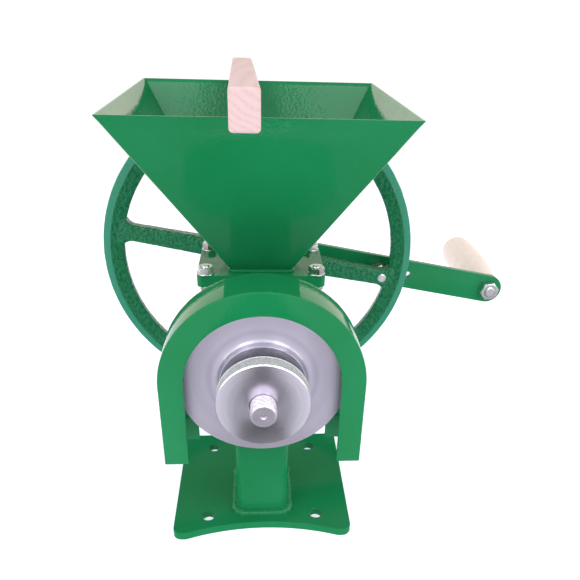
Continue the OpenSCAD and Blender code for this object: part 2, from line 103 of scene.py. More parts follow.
def joinMeshes(name, parts, sharp=crispAngle):
    # One piece from several closed shells.
    work = bmesh.new()
    for part in parts:
        work.from_mesh(part.data)
    mesh = bpy.data.meshes.new(name)
    work.to_mesh(mesh)
    work.free()
    for part in parts:
        bpy.data.objects.remove(part)
    mesh.shade_smooth()
    mesh.set_sharp_from_angle(angle=math.radians(sharp))
    piece = bpy.data.objects.new(name, mesh)
    bpy.context.scene.collection.objects.link(piece)
    return piece


def rounded(corners, steps=5, closed=False):
    # Outline with eased corners: (a, b, ease) becomes a quadratic blend between its two sides.
    given = np.array(corners, float)
    count = len(given)
    out = []
    for i, (a, b, ease) in enumerate(given):
        here = np.array([a, b])
        if ease <= 0 or (not closed and i in (0, count - 1)):
            out.append(here[None])
            continue
        before = given[i - 1][:2] - here
        after = given[(i + 1) % count][:2] - here
        start = here + before * min(0.5, ease / np.linalg.norm(before))
        stop = here + after * min(0.5, ease / np.linalg.norm(after))
        t = np.linspace(0, 1, steps + 1)[:, None]
        out.append((1 - t) ** 2 * start + 2 * t * (1 - t) * here + t ** 2 * stop)
    return np.vstack(out)


def finer(outline, step):
    # The same outline with points no further apart than step.
    out = [outline[:1]]
    for a, b in zip(outline[:-1], outline[1:]):
        n = max(1, int(np.ceil(np.linalg.norm(b - a) / step)))
        t = np.linspace(0, 1, n + 1)[1:, None]
        out.append(a + (b - a) * t)
    return np.vstack(out)


def spun(name, outline, centre=axisPoint, along="y", segments=128, shape=None, loop=False,
         turn=0.0, sharp=crispAngle):
    # Outline (radius, height) spun round an axis: side = radius cos angle, up = radius sin angle.
    angle = np.arange(segments) * full / segments
    r, h = outline[:, 0][:, None], outline[:, 1][:, None]
    theta = np.broadcast_to(angle[None], (len(outline), segments))
    radius = np.broadcast_to(r, theta.shape)
    height = np.broadcast_to(h, theta.shape)
    if shape is not None:
        radius = shape(theta, radius, height)
    side, up = radius * np.cos(theta + turn), radius * np.sin(theta + turn)
    cx, cy, cz = centre
    if along == "y":
        points = np.stack([cx + side, cy + height, cz + up], axis=-1)
    else:
        points = np.stack([cx + side, cy + up, cz + height], axis=-1)
    return gridMesh(name, points, loopRows=loop, loopCols=True, sharp=sharp)


def hexLimit(flats):
    # Radius of a hexagon at an angle: half its width over the cosine of the angle from the nearest flat.
    def limit(theta, radius, height):
        nearest = (theta + math.pi / 6) % (math.pi / 3) - math.pi / 6
        return np.minimum(radius, flats / 2 / np.cos(nearest))
    return limit


hexagon = {"pastCorner": 0.02 * mm, "face": 0.95, "slope": 28, "mouth": 0.5 * mm, "step": 1.2 * mm}


def hexOutline(flats, low, high, hole=0.0):
    # Outline of a nut or bolt head, its corners cut back by a shallow cone at both faces.
    corner = flats / math.sqrt(3) + hexagon["pastCorner"]
    inner = flats / 2 * hexagon["face"]
    cut = (corner - inner) * math.tan(math.radians(hexagon["slope"]))
    sides = [[inner, low], [corner, low + cut], [corner, high - cut], [inner, high]]
    if not hole:
        return finer(np.array([[0, low], *sides, [0, high]]), hexagon["step"])
    mouth = hexagon["mouth"]
    bottom = [[hole, low + mouth], [hole + mouth, low]]
    top = [[hole + mouth, high], [hole, high - mouth]]
    return finer(np.array([*bottom, *sides, *top]), hexagon["step"])


thread = {"runOut": 0.6, "margin": 0.3 * mm, "steep": 1.35, "crest": 0.2}


def threadShape(pitch, depth, low, high, base):
    # Screw thread: the radius falls by depth on a cosine of height over pitch plus angle, its crests cut
    # flat, and runs out over a share of the pitch at low and at high.
    def cut(theta, radius, height):
        wave = 0.5 - 0.5 * np.cos(full * height / pitch + theta)
        run = thread["runOut"] * pitch
        fade = np.clip((height - low) / run, 0, 1) * np.clip((high - height) / run, 0, 1)
        groove = np.clip(thread["steep"] * wave - thread["crest"], 0, 1)
        return np.where(radius > base - thread["margin"], radius - depth * fade * groove, radius)
    return cut


bevelAngle = 38  # degrees past which an edge is rounded


def softened(name, node, ease, segments=3):
    # A merged copy of a node with its sharp edges rounded over by ease.
    mesh = nodes[node].data.copy()
    mesh.materials.clear()
    work = bmesh.new()
    work.from_mesh(mesh)
    bmesh.ops.remove_doubles(work, verts=work.verts, dist=2 * weldDistance)
    bmesh.ops.dissolve_limit(work, angle_limit=math.radians(1), verts=work.verts, edges=work.edges)
    bmesh.ops.recalc_face_normals(work, faces=work.faces)
    work.to_mesh(mesh)
    work.free()
    if mesh.attributes.get("custom_normal"):
        mesh.attributes.remove(mesh.attributes["custom_normal"])
    mesh.shade_smooth()
    mesh.set_sharp_from_angle(angle=math.radians(crispAngle))
    piece = bpy.data.objects.new(name, mesh)
    bpy.context.scene.collection.objects.link(piece)
    bevel = piece.modifiers.new("easedEdges", "BEVEL")
    bevel.width = ease
    bevel.segments = segments
    bevel.limit_method = "ANGLE"
    bevel.angle_limit = math.radians(bevelAngle)
    bevel.harden_normals = False
    weighted = piece.modifiers.new("evenShading", "WEIGHTED_NORMAL")
    weighted.keep_sharp = False
    return piece


def ripple(a, b, seed, waves=9):
    # Smooth irregularity in about -1 to 1: a sum of sine waves in seeded random directions, each wave
    # quicker and weaker than the one before.
    rng = np.random.default_rng(seed)
    total = np.zeros(np.broadcast(a, b).shape)
    for k in range(waves):
        fa, fb, phase = rng.uniform(0.4, 1.6, 2).tolist() + [rng.uniform(0, full)]
        total = total + np.sin((a * fa + b * fb) * (1 + 0.45 * k) + phase) / (1 + 0.35 * k)
    return total / 3


# Finishes: each one is a small node tree on object coordinates.

def startMaterial(name):
    material = bpy.data.materials.new(name)
    material.use_nodes = True
    tree = material.node_tree
    return material, tree, tree.nodes["Principled BSDF"]


def addNode(tree, kind, settings=None, **inputs):
    node = tree.nodes.new(kind)
    for key, value in (settings or {}).items():
        setattr(node, key, value)
    for key, value in inputs.items():
        numbered = key[0] == "i" and key[1:].isdigit()  # i0, i1 and so on count the sockets
        socket = node.inputs[int(key[1:])] if numbered else node.inputs[key]
        if isinstance(value, bpy.types.NodeSocket):
            tree.links.new(value, socket)
        else:
            socket.default_value = value
    return node


def objectSpace(tree, move=(0, 0, 0), turn=(0, 0, 0), scale=(1, 1, 1)):
    coords = tree.nodes.new("ShaderNodeTexCoord")
    mapping = addNode(tree, "ShaderNodeMapping", Vector=coords.outputs["Object"],
                      Location=move, Rotation=turn, Scale=scale)
    return mapping.outputs["Vector"]


def noise(tree, vector, scale, detail=3.0, roughness=0.5):
    node = addNode(tree, "ShaderNodeTexNoise", Vector=vector, Scale=scale, Detail=detail,
                   Roughness=roughness)
    return node.outputs["Fac"]


def ramp(tree, fac, stops):
    node = addNode(tree, "ShaderNodeValToRGB", Fac=fac)
    elements = node.color_ramp.elements
    while len(elements) < len(stops):
        elements.new(0.5)
    for element, (place, colour) in zip(elements, stops):
        element.position = place
        element.color = (*colour, 1) if len(colour) == 3 else colour
    return node.outputs["Color"]


def spread(tree, fac, low, high):
    node = addNode(tree, "ShaderNodeMapRange", Value=fac)
    node.inputs["To Min"].default_value = low
    node.inputs["To Max"].default_value = high
    return node.outputs["Result"]


def bump(tree, height, strength, distance, under=None):
    node = addNode(tree, "ShaderNodeBump", Height=height, Strength=strength, Distance=distance)
    if under is not None:
        tree.links.new(under, node.inputs["Normal"])
    return node.outputs["Normal"]


def enamel(name, low, high, peel=0.12, roughness=(0.05, 0.10)):
    # Sprayed gloss enamel: a slight drift of colour, slow sags, orange peel and a few specks of dust.
    material, tree, shader = startMaterial(name)
    where = objectSpace(tree)
    drift = noise(tree, where, scale=14.0, detail=2.0)
    tree.links.new(ramp(tree, drift, [(0.3, low), (0.7, high)]), shader.inputs["Base Color"])
    rub = noise(tree, where, scale=60.0, detail=4.0, roughness=0.6)
    tree.links.new(spread(tree, rub, *roughness), shader.inputs["Roughness"])
    sags = noise(tree, where, scale=45.0, detail=1.0)
    peeled = noise(tree, where, scale=380.0, detail=1.5)
    sagging = bump(tree, sags, strength=0.10, distance=0.0016)
    skin = bump(tree, peeled, strength=peel, distance=0.0005, under=sagging)
    specks = addNode(tree, "ShaderNodeTexVoronoi", Vector=where, Scale=190.0)
    grit = ramp(tree, specks.outputs["Distance"], [(0.0, (1, 1, 1)), (0.10, (0, 0, 0))])
    gritty = bump(tree, grit, strength=0.35, distance=0.0004, under=skin)
    tree.links.new(gritty, shader.inputs["Normal"])
    shader.inputs["IOR"].default_value = 1.33
    return material


def castEnamel(name, low, high, lip, smoothFrom, change=0.6 * mm, smoothRelief=0.12):
    # The same enamel over a sand casting: lumps of a few millimetres and a finer grain, except on the
    # turned lip, where the distance to the shaft's centre line is past smoothFrom. There the colour is the
    # lighter lip green, a painted highlight for the light the smooth lip catches, which leaves the dish
    # inside it darker.
    material, tree, shader = startMaterial(name)
    where = objectSpace(tree)
    centred = addNode(tree, "ShaderNodeSeparateXYZ", Vector=objectSpace(tree, move=(0, 0, -axisZ)))
    flat = addNode(tree, "ShaderNodeCombineXYZ", X=centred.outputs["X"], Z=centred.outputs["Z"])
    distance = addNode(tree, "ShaderNodeVectorMath", {"operation": "LENGTH"}, i0=flat.outputs["Vector"])
    rough = addNode(tree, "ShaderNodeMapRange", Value=distance.outputs["Value"])
    rough.inputs["From Min"].default_value = smoothFrom - change
    rough.inputs["From Max"].default_value = smoothFrom + change
    rough.inputs["To Min"].default_value = 1.0
    rough.inputs["To Max"].default_value = smoothRelief
    share = rough.outputs["Result"]  # how much of the casting's roughness is left
    lumps = noise(tree, where, scale=300.0, detail=1.5)
    grain = noise(tree, where, scale=800.0, detail=2.0)
    cast = ramp(tree, lumps, [(0.35, low), (0.62, high)])
    # Lighter lip green past smoothFrom: painted highlight on the turned lip.
    paint = addNode(tree, "ShaderNodeMixRGB", i0=share, i1=(*lip, 1), i2=cast)
    tree.links.new(paint.outputs[0], shader.inputs["Base Color"])
    tree.links.new(spread(tree, grain, 0.10, 0.20), shader.inputs["Roughness"])
    relief = addNode(tree, "ShaderNodeMath", {"operation": "MULTIPLY"}, i0=lumps, i1=share)
    fine = addNode(tree, "ShaderNodeMath", {"operation": "MULTIPLY"}, i0=grain, i1=share)
    lumpy = bump(tree, relief.outputs[0], strength=0.65, distance=0.0030)
    grainy = bump(tree, fine.outputs[0], strength=0.5, distance=0.0008, under=lumpy)
    tree.links.new(grainy, shader.inputs["Normal"])
    shader.inputs["IOR"].default_value = 1.42
    return material


def turnedSteel(name, low, high, roughness=(0.34, 0.44), groove=0.10):
    # Lathe-turned steel: rings that vary with the distance to the shaft's centre line, and a gloss that
    # is drawn out across the rings. The tangent is the normal crossed with the direction round the axis.
    material, tree, shader = startMaterial(name)
    where = objectSpace(tree, move=(0, 0, -axisZ))
    parts = addNode(tree, "ShaderNodeSeparateXYZ", Vector=where)
    flat = addNode(tree, "ShaderNodeCombineXYZ", X=parts.outputs["X"], Z=parts.outputs["Z"])
    distance = addNode(tree, "ShaderNodeVectorMath", {"operation": "LENGTH"}, i0=flat.outputs["Vector"])
    rings = addNode(tree, "ShaderNodeCombineXYZ", X=distance.outputs["Value"], Y=parts.outputs["Y"])
    fine = noise(tree, rings.outputs["Vector"], scale=2600.0, detail=2.0)
    broad = noise(tree, rings.outputs["Vector"], scale=260.0, detail=3.0, roughness=0.6)
    smear = noise(tree, objectSpace(tree), scale=35.0, detail=3.0)
    tree.links.new(ramp(tree, broad, [(0.25, low), (0.75, high)]), shader.inputs["Base Color"])
    tree.links.new(spread(tree, smear, *roughness), shader.inputs["Roughness"])
    tree.links.new(bump(tree, fine, strength=groove, distance=0.0002), shader.inputs["Normal"])
    shader.inputs["Metallic"].default_value = 1.0
    shader.inputs["Anisotropic"].default_value = 0.8
    along = addNode(tree, "ShaderNodeVectorMath", {"operation": "CROSS_PRODUCT"},
                    i0=flat.outputs["Vector"], i1=(0.0, 1.0, 0.0))
    around = addNode(tree, "ShaderNodeVectorTransform",
                     {"vector_type": "VECTOR", "convert_from": "OBJECT", "convert_to": "WORLD"},
                     Vector=along.outputs["Vector"])
    facing = tree.nodes.new("ShaderNodeNewGeometry")
    across = addNode(tree, "ShaderNodeVectorMath", {"operation": "CROSS_PRODUCT"},
                     i0=facing.outputs["Normal"], i1=around.outputs["Vector"])
    tree.links.new(across.outputs["Vector"], shader.inputs["Tangent"])
    return material


def platedSteel(name, low, high, roughness=(0.2, 0.38), scale=240.0, metal=1.0):
    # Bare or plated metal: faint clouding of the colour, finer rub marks in the gloss.
    material, tree, shader = startMaterial(name)
    where = objectSpace(tree)
    cloud = noise(tree, where, scale, detail=3.0)
    rub = noise(tree, where, scale * 3, detail=2.0)
    pores = noise(tree, where, scale=1800.0, detail=1.0)
    tree.links.new(ramp(tree, cloud, [(0.3, low), (0.7, high)]), shader.inputs["Base Color"])
    tree.links.new(spread(tree, rub, *roughness), shader.inputs["Roughness"])
    tree.links.new(bump(tree, pores, strength=0.06, distance=0.0002), shader.inputs["Normal"])
    shader.inputs["Metallic"].default_value = metal
    return material


def plainRubber(name, low, high):
    # Dull rubber with a fine speckle.
    material, tree, shader = startMaterial(name)
    where = objectSpace(tree)
    speck = noise(tree, where, scale=900.0, detail=2.0)
    tree.links.new(ramp(tree, speck, [(0.3, low), (0.7, high)]), shader.inputs["Base Color"])
    tree.links.new(bump(tree, speck, strength=0.2, distance=0.0003), shader.inputs["Normal"])
    shader.inputs["Roughness"].default_value = 0.7
    return material


def timber(name, pale, mid, dark, tilt, rings, share, roughness=(0.42, 0.58)):
    # Growth rings: a sine of the distance across the tilted grain, bent by a slow noise and drawn out
    # along the length, with the fibres as a finer noise.
    material, tree, shader = startMaterial(name)
    where = objectSpace(tree, turn=(0, tilt, 0), scale=(1, 0.07, 1))
    bend = noise(tree, where, scale=38.0, detail=2.0)
    parts = addNode(tree, "ShaderNodeSeparateXYZ", Vector=where)
    shifted = addNode(tree, "ShaderNodeMath", {"operation": "MULTIPLY_ADD"},
                      i0=bend, i1=0.016, i2=parts.outputs["X"])
    bands = addNode(tree, "ShaderNodeMath", {"operation": "MULTIPLY"}, i0=shifted.outputs[0], i1=rings * full)
    wave = addNode(tree, "ShaderNodeMath", {"operation": "SINE"}, i0=bands.outputs[0])
    fibre = noise(tree, objectSpace(tree, scale=(1, 0.03, 1)), scale=900.0, detail=3.0, roughness=0.6)
    threads = spread(tree, fibre, 0.30, 0.80)
    mixed = addNode(tree, "ShaderNodeMath", {"operation": "MULTIPLY_ADD"},
                    i0=wave.outputs[0], i1=share, i2=threads)
    tree.links.new(ramp(tree, mixed.outputs[0], [(0.2, dark), (0.45, mid), (0.75, pale)]),
                   shader.inputs["Base Color"])
    tree.links.new(spread(tree, fibre, *roughness), shader.inputs["Roughness"])
    tree.links.new(bump(tree, fibre, strength=0.12, distance=0.0003), shader.inputs["Normal"])
    return material


wheelLip = 153.0 * mm  # where the flywheel's turned lip starts
materials = {
    "painted_steel": enamel("greenEnamel", (0.007, 0.187, 0.059), (0.010, 0.213, 0.077)),
    # The casting's lip colour is a lighter green: painted highlight on the flywheel's turned lip.
    "painted_casting": castEnamel("greenCasting", (0.006, 0.130, 0.052), (0.010, 0.190, 0.080),
                                  lip=(0.034, 0.270, 0.165), smoothFrom=wheelLip),
    "turned_steel": turnedSteel("turnedSteel", (0.70, 0.665, 0.78), (0.83, 0.79, 0.91)),
    "zinc_plate": platedSteel("zincPlate", (0.70, 0.69, 0.70), (0.86, 0.85, 0.86)),
    "bare_iron": platedSteel("bareIron", (0.16, 0.16, 0.165), (0.26, 0.26, 0.265), (0.4, 0.6)),
    "birch": timber("birchWood", (0.97, 0.83, 0.76), (0.95, 0.80, 0.73), (0.88, 0.72, 0.64),
                    tilt=0.4, rings=150.0, share=0.08),
    "pine": timber("pineWood", (0.68, 0.49, 0.49), (0.64, 0.455, 0.45), (0.53, 0.345, 0.325),
                   tilt=0.95, rings=230.0, share=0.15),
    "black_rubber": plainRubber("blackRubber", (0.012, 0.012, 0.012), (0.03, 0.03, 0.03)),
    "bronze": platedSteel("bronze", (0.45, 0.27, 0.11), (0.62, 0.40, 0.19), (0.3, 0.5)),
}
for node, piece in nodes.items():
    piece.data.materials.clear()
    piece.data.materials.append(materials[slotOfNode[node]])
print("materials made:", len(materials))

# Finishes that only part of the knob and the shaft's nose have, and shadedSteel, a dark steel that is painted
# shade.
knurledSteel = platedSteel("knurledSteel", (0.74, 0.72, 0.76), (0.90, 0.88, 0.92), (0.22, 0.32), 400.0, 0.55)
shadedSteel = platedSteel("shadedSteel", (0.20, 0.20, 0.23), (0.30, 0.30, 0.34), (0.30, 0.45), 200.0)
polishedSteel = turnedSteel("polishedSteel", (0.86, 0.83, 0.93), (0.95, 0.92, 1.0), (0.20, 0.27))
paleSteel = platedSteel("paleSteel", (0.64, 0.60, 0.67), (0.76, 0.72, 0.79), (0.34, 0.46), 160.0)


def place(piece, body, *stands, slot=None, finish=None):
    # Puts a finished piece on its body, in the place of its nodes, with their slot's finish or its own.
    slot = slot or slotOfNode[stands[0]]
    piece.data.materials.clear()
    piece.data.materials.append(finish or materials[slot])
    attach(piece, body)
    if stands:
        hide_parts(*stands)
    return piece


# Base plate, pedestal tube and the weld round its foot.

base = {"ease": 1.7 * mm}
place(softened("basePlate", "base_plate", base["ease"]), "frame", "base_plate")

post = {"width": 48 * mm, "depth": 64 * mm, "wall": 4 * mm, "corner": 8 * mm, "innerCorner": 4 * mm,
        "tube": 30 * mm, "intoTube": 1 * mm}


def roundedRing(halfX, halfY, corner, perCorner=8):
    # Points round a rectangle with circular corners: corner centre plus radius times (cos, sin).
    # The sizes may be arrays, one entry for each row.
    quarter = np.linspace(0, math.pi / 2, perCorner + 1)
    angles = np.concatenate([quarter + k * math.pi / 2 for k in range(4)])
    signX = np.repeat([1, -1, -1, 1], perCorner + 1)
    signY = np.repeat([1, 1, -1, -1], perCorner + 1)
    halfX, halfY, corner = (np.asarray(v, float)[..., None] for v in (halfX, halfY, corner))
    x = signX * (halfX - corner) + corner * np.cos(angles)
    y = signY * (halfY - corner) + corner * np.sin(angles)
    return x, y


postCentre = spot("pedestal_post")
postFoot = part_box("pedestal_post")[0].z
outerX, outerY = roundedRing(post["width"] / 2, post["depth"] / 2, post["corner"])
innerX, innerY = roundedRing(post["width"] / 2 - post["wall"], post["depth"] / 2 - post["wall"],
                             post["innerCorner"])
ringX = np.stack([outerX, outerX, innerX, innerX])
ringY = np.stack([outerY, outerY, innerY, innerY]) + postCentre.y
underTube = axisZ - np.sqrt(post["tube"] ** 2 - ringX ** 2) + post["intoTube"]
ringZ = np.stack([np.full(outerX.shape, postFoot), underTube[1], underTube[2],
                  np.full(outerX.shape, postFoot)])
place(gridMesh("pedestalTube", np.stack([ringX, ringY, ringZ], axis=-1), loopRows=True, loopCols=True),
      "frame", "pedestal_post")

weld = {"leg": 6 * mm, "ripplePitch": 4.2 * mm, "ripple": 0.14, "wander": 0.20, "cornerSwell": 0.22,
        "cornerTurn": 0.4, "flat": 0.88, "round": 0.18, "toe": 1.12, "sink": 0.4 * mm, "step": 0.5 * mm,
        "wavesAlong": (210, 35), "seed": 3}


def weldBead(name, halfX, halfY, corner, centreY, foot, leg, uneven=1.0, slopeX=0.0, slopeY=0.0):
    # A bead carried round a rectangle: at each angle from the plate to the wall its radius is the leg times
    # a bulge, and the leg swells with a slow wander, the puddle's ripples and every corner it turns.
    # The slopes lean it with walls that flare out.
    cx, cy = roundedRing(halfX, halfY, corner, 60)
    path = np.stack([cx, cy], axis=-1)
    path = finer(np.vstack([path, path[:1]]), weld["step"])[:-1]
    ahead = np.roll(path, -1, axis=0) - np.roll(path, 1, axis=0)
    ahead /= np.linalg.norm(ahead, axis=1)[:, None]
    outward = np.stack([ahead[:, 1], -ahead[:, 0]], axis=-1)
    run = np.concatenate([[0], np.cumsum(np.linalg.norm(np.diff(path, axis=0), axis=1))])
    slow, cross = weld["wavesAlong"]
    wander = weld["wander"] * (0.5 + 0.5 * ripple(run * slow, run * cross, weld["seed"]))
    puddles = weld["ripple"] * (0.5 + 0.5 * np.cos(full * run / weld["ripplePitch"]))
    turning = np.linalg.norm(np.roll(ahead, -4, axis=0) - np.roll(ahead, 4, axis=0), axis=1)
    corners = weld["cornerSwell"] * np.clip(turning / weld["cornerTurn"], 0, 1)
    swell = 1 + uneven * (corners - wander - puddles)
    around = np.linspace(0, math.pi / 2, 9)
    radius = leg * swell[:, None] * (weld["flat"] + weld["round"] * np.sin(2 * around))
    onPlate, onWall = around == around[0], around == around[-1]
    out = radius * np.cos(around) * np.where(onPlate, weld["toe"], 1)
    rise = radius * np.sin(around) * np.where(onWall, weld["toe"], 1)
    out = np.hstack([out, np.full((len(path), 2), -weld["sink"])])
    rise = np.hstack([rise, rise[:, -1:], np.zeros((len(path), 1))])
    x = path[:, :1] + outward[:, :1] * (out + slopeX * rise)
    y = path[:, 1:] + outward[:, 1:] * (out + slopeY * rise) + centreY
    return gridMesh(name, np.stack([x, y, foot + rise], axis=-1), loopRows=True, loopCols=True, sharp=50)


place(weldBead("weldBead", post["width"] / 2, post["depth"] / 2, post["corner"], postCentre.y,
               postFoot, weld["leg"]), "frame", "post_weld")
print("base and pedestal made")

# Flanges, hopper and the bolts that join them.

flange = {"ease": 0.7 * mm}
place(softened("throatFlange", "throat_flange", flange["ease"]), "frame", "throat_flange")
place(softened("hopperFlange", "hopper_flange", flange["ease"]), "frame", "hopper_flange")

hopper = {"sheet": 1.6 * mm, "lean": 1.25, "foot": 46 * mm, "corner": 2.0 * mm, "innerCorner": 1.0 * mm,
          "lip": 0.5 * mm, "rows": 25, "weldLeg": 2.6 * mm, "uneven": 0.3}
hopperLow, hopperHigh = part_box("hopper")
hopperCentre = (hopperLow + hopperHigh) / 2
mouthX, mouthY = (hopperHigh.x - hopperLow.x) / 2, (hopperHigh.y - hopperLow.y) / 2
tall = hopperHigh.z - hopperLow.z
inset = hopper["sheet"] * hopper["lean"]  # the sheet's thickness measured level, across its leaning wall
rows = hopper["rows"]
# The sheet's section: up the outside, over the rounded lip and down the inside.
steps = np.linspace(0, 1, rows)
level = np.concatenate([steps, [1, 1], steps[::-1]])
inward = np.concatenate([np.zeros(rows), [0.3 * inset, 0.7 * inset], np.full(rows, inset)])
belowLip = np.concatenate([np.zeros(rows - 1), [hopper["lip"]], [0, 0], [hopper["lip"]], np.zeros(rows - 1)])
halfX = hopper["foot"] / 2 + (mouthX - hopper["foot"] / 2) * level - inward
halfY = hopper["foot"] / 2 + (mouthY - hopper["foot"] / 2) * level - inward
corner = np.where(inward > 0.5 * inset, hopper["innerCorner"], hopper["corner"])
sheetX, sheetY = roundedRing(halfX, halfY, corner, 5)
sheetZ = np.broadcast_to((hopperLow.z + tall * level - belowLip)[:, None], sheetX.shape)
place(gridMesh("hopperFunnel", np.stack([sheetX, sheetY + hopperCentre.y, sheetZ], axis=-1), loopRows=True,
               loopCols=True, sharp=40), "frame", "hopper")

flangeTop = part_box("hopper_flange")[1].z
footWeld = weldBead("hopperWeld", hopper["foot"] / 2, hopper["foot"] / 2, 2 * mm, hopperCentre.y,
                    flangeTop - 0.3 * mm, hopper["weldLeg"], hopper["uneven"],
                    (mouthX - hopper["foot"] / 2) / tall, (mouthY - hopper["foot"] / 2) / tall)
place(footWeld, "frame", slot="painted_steel")

bolt = {"nutFlats": 11 * mm, "headFlats": 10 * mm, "shank": 3.2 * mm, "pitch": 1.0 * mm, "depth": 0.45 * mm,
        "plain": 4 * mm, "washer": 6.6 * mm, "firstTurn": 0.35, "turnStep": 0.5}
boltMid = spot("flange_bolts")
washerLow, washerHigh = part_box("flange_washers")
nutLow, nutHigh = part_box("flange_nuts")
boltLow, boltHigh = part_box("flange_bolts")
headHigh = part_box("throat_flange")[0].z
cornerX = (washerHigh.x - washerLow.x) / 2 - bolt["washer"]
cornerY = (washerHigh.y - washerLow.y) / 2 - bolt["washer"]
washerOutline = rounded([(bolt["shank"], washerLow.z, 0.2 * mm), (bolt["washer"], washerLow.z, 0.3 * mm),
                         (bolt["washer"], washerHigh.z, 0.5 * mm), (bolt["shank"], washerHigh.z, 0.2 * mm)],
                        3, True)
shankOutline = rounded([(0, headHigh - 0.5 * mm, 0), (bolt["shank"], headHigh - 0.5 * mm, 0),
                        (bolt["shank"], boltHigh.z - 0.6 * mm, 0.4 * mm),
                        (bolt["shank"] - 0.8 * mm, boltHigh.z, 0.4 * mm), (0, boltHigh.z, 0)])
nutOutline = hexOutline(bolt["nutFlats"], nutLow.z, nutHigh.z, bolt["shank"])
headOutline = hexOutline(bolt["headFlats"], boltLow.z, headHigh)
boltThread = threadShape(bolt["pitch"], bolt["depth"], headHigh + bolt["plain"], boltHigh.z - 0.5 * mm,
                         bolt["shank"])
boltSpots = [(sx * cornerX, boltMid.y + sy * cornerY, 0) for sx in (-1, 1) for sy in (-1, 1)]
nutParts, washerParts, boltParts = [], [], []
for number, boltPlace in enumerate(boltSpots):
    turn = bolt["firstTurn"] + bolt["turnStep"] * number
    nutParts.append(spun("nut", nutOutline, boltPlace, "z", 96, hexLimit(bolt["nutFlats"]), loop=True,
                         turn=turn))
    washerParts.append(spun("washer", washerOutline, boltPlace, "z", 64, loop=True))
    boltParts.append(spun("head", headOutline, boltPlace, "z", 96, hexLimit(bolt["headFlats"]), turn=turn))
    boltParts.append(spun("shank", finer(shankOutline, 0.16 * mm), boltPlace, "z", 40, boltThread))
place(joinMeshes("flangeNuts", nutParts), "frame", "flange_nuts")
place(joinMeshes("flangeWashers", washerParts), "frame", "flange_washers")
place(joinMeshes("flangeBolts", boltParts), "frame", "flange_bolts")
print("flanges and hopper made")

# Shaft, burr carrier and adjusting knob, all turned about the same axis.

shaft = {"nose": 9 * mm, "body": 10 * mm, "seat": 9 * mm, "tail": 8 * mm, "pitch": 2.5 * mm,
         "depth": 1.0 * mm, "shoulder": 108 * mm, "intoCarrier": 1.5 * mm, "centreHole": 2.0 * mm,
         "centreDepth": 2.6 * mm}
shaftLow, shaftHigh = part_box("main_shaft")
carrierLow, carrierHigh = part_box("burr_carrier")
noseTip, tailTip = shaftLow.y, shaftHigh.y
noseEnd = carrierLow.y + shaft["intoCarrier"]
shoulder, hubBack = shaft["shoulder"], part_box("wheel_washer")[0].y
outline = rounded([(0, noseTip + shaft["centreDepth"], 0), (0.7 * mm, noseTip + 2.2 * mm, 0.2 * mm),
                   (shaft["centreHole"], noseTip, 0.15 * mm), (shaft["nose"] - 1.3 * mm, noseTip, 0.3 * mm),
                   (shaft["nose"], noseTip + 1.2 * mm, 0.3 * mm), (shaft["nose"], noseEnd, 0),
                   (shaft["body"], noseEnd, 0), (shaft["body"], shoulder, 0), (shaft["seat"], shoulder, 0),
                   (shaft["seat"], hubBack, 0), (shaft["tail"], hubBack, 0),
                   (shaft["tail"], tailTip - 1 * mm, 0.3 * mm), (shaft["tail"] - 1 * mm, tailTip, 0.3 * mm),
                   (0, tailTip, 0)])
onNose = outline[:, 1] < noseEnd + 0.5 * mm
outline = np.vstack([finer(outline[onNose], 0.2 * mm), outline[~onNose]])
noseThread = threadShape(shaft["pitch"], shaft["depth"], noseTip - 1 * mm, carrierLow.y, shaft["nose"])
place(spun("threadedShaft", outline, segments=96, shape=noseThread), "crank", "main_shaft", finish=paleSteel)

carrier = {"bore": 10.05 * mm, "boss": 31 * mm, "blend": 6 * mm, "disc": 62.8 * mm, "discFront": -110.4 * mm,
           "discBack": -102.4 * mm, "edge": 0.9 * mm, "spigot": 20 * mm}
outline = rounded([(carrier["bore"], carrierLow.y, 0.3 * mm), (carrier["boss"], carrierLow.y, 0.4 * mm),
                   (carrier["boss"], carrier["discFront"], carrier["blend"]),
                   (carrier["disc"], carrier["discFront"], carrier["edge"]),
                   (carrier["disc"], carrier["discBack"], carrier["edge"]),
                   (carrier["spigot"], carrier["discBack"], 0.2 * mm),
                   (carrier["spigot"], carrierHigh.y, 0.3 * mm), (carrier["bore"], carrierHigh.y, 0.3 * mm)],
                  8, True)
place(spun("burrCarrier", outline, segments=192, loop=True), "carrier", "burr_carrier")

knob = {"radius": 32.2 * mm, "bore": 9.05 * mm, "band": 12 * mm, "teeth": 120, "depth": 0.6 * mm,
        "slant": 0.55, "crest": 1.5, "margin": 0.7 * mm, "bandRows": 60, "segments": 960, "groove": 29.6 * mm,
        "grooveWide": 1.4 * mm, "ring": 30.4 * mm, "recess": 17.3 * mm, "recessDepth": 2 * mm}
knobLow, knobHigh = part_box("adjusting_knob")
front, back = knobLow.y, knobHigh.y
bandEnd = front + knob["band"]


def knurl(theta, radius, height):
    # Diamond knurl: two families of slanted V grooves, the deeper one at each point.
    across = theta * knob["teeth"] / full
    along = (height - front) / (full * knob["radius"] / knob["teeth"])
    left = np.abs((across + knob["slant"] * along) % 1 - 0.5) * 2
    right = np.abs((across - knob["slant"] * along) % 1 - 0.5) * 2
    pattern = np.maximum(left, right) ** knob["crest"]
    cutHere = ((radius > knob["radius"] - 0.05 * mm) & (height > front + knob["margin"])
               & (height < bandEnd - knob["margin"]))
    return np.where(cutHere, radius - knob["depth"] * pattern, radius)


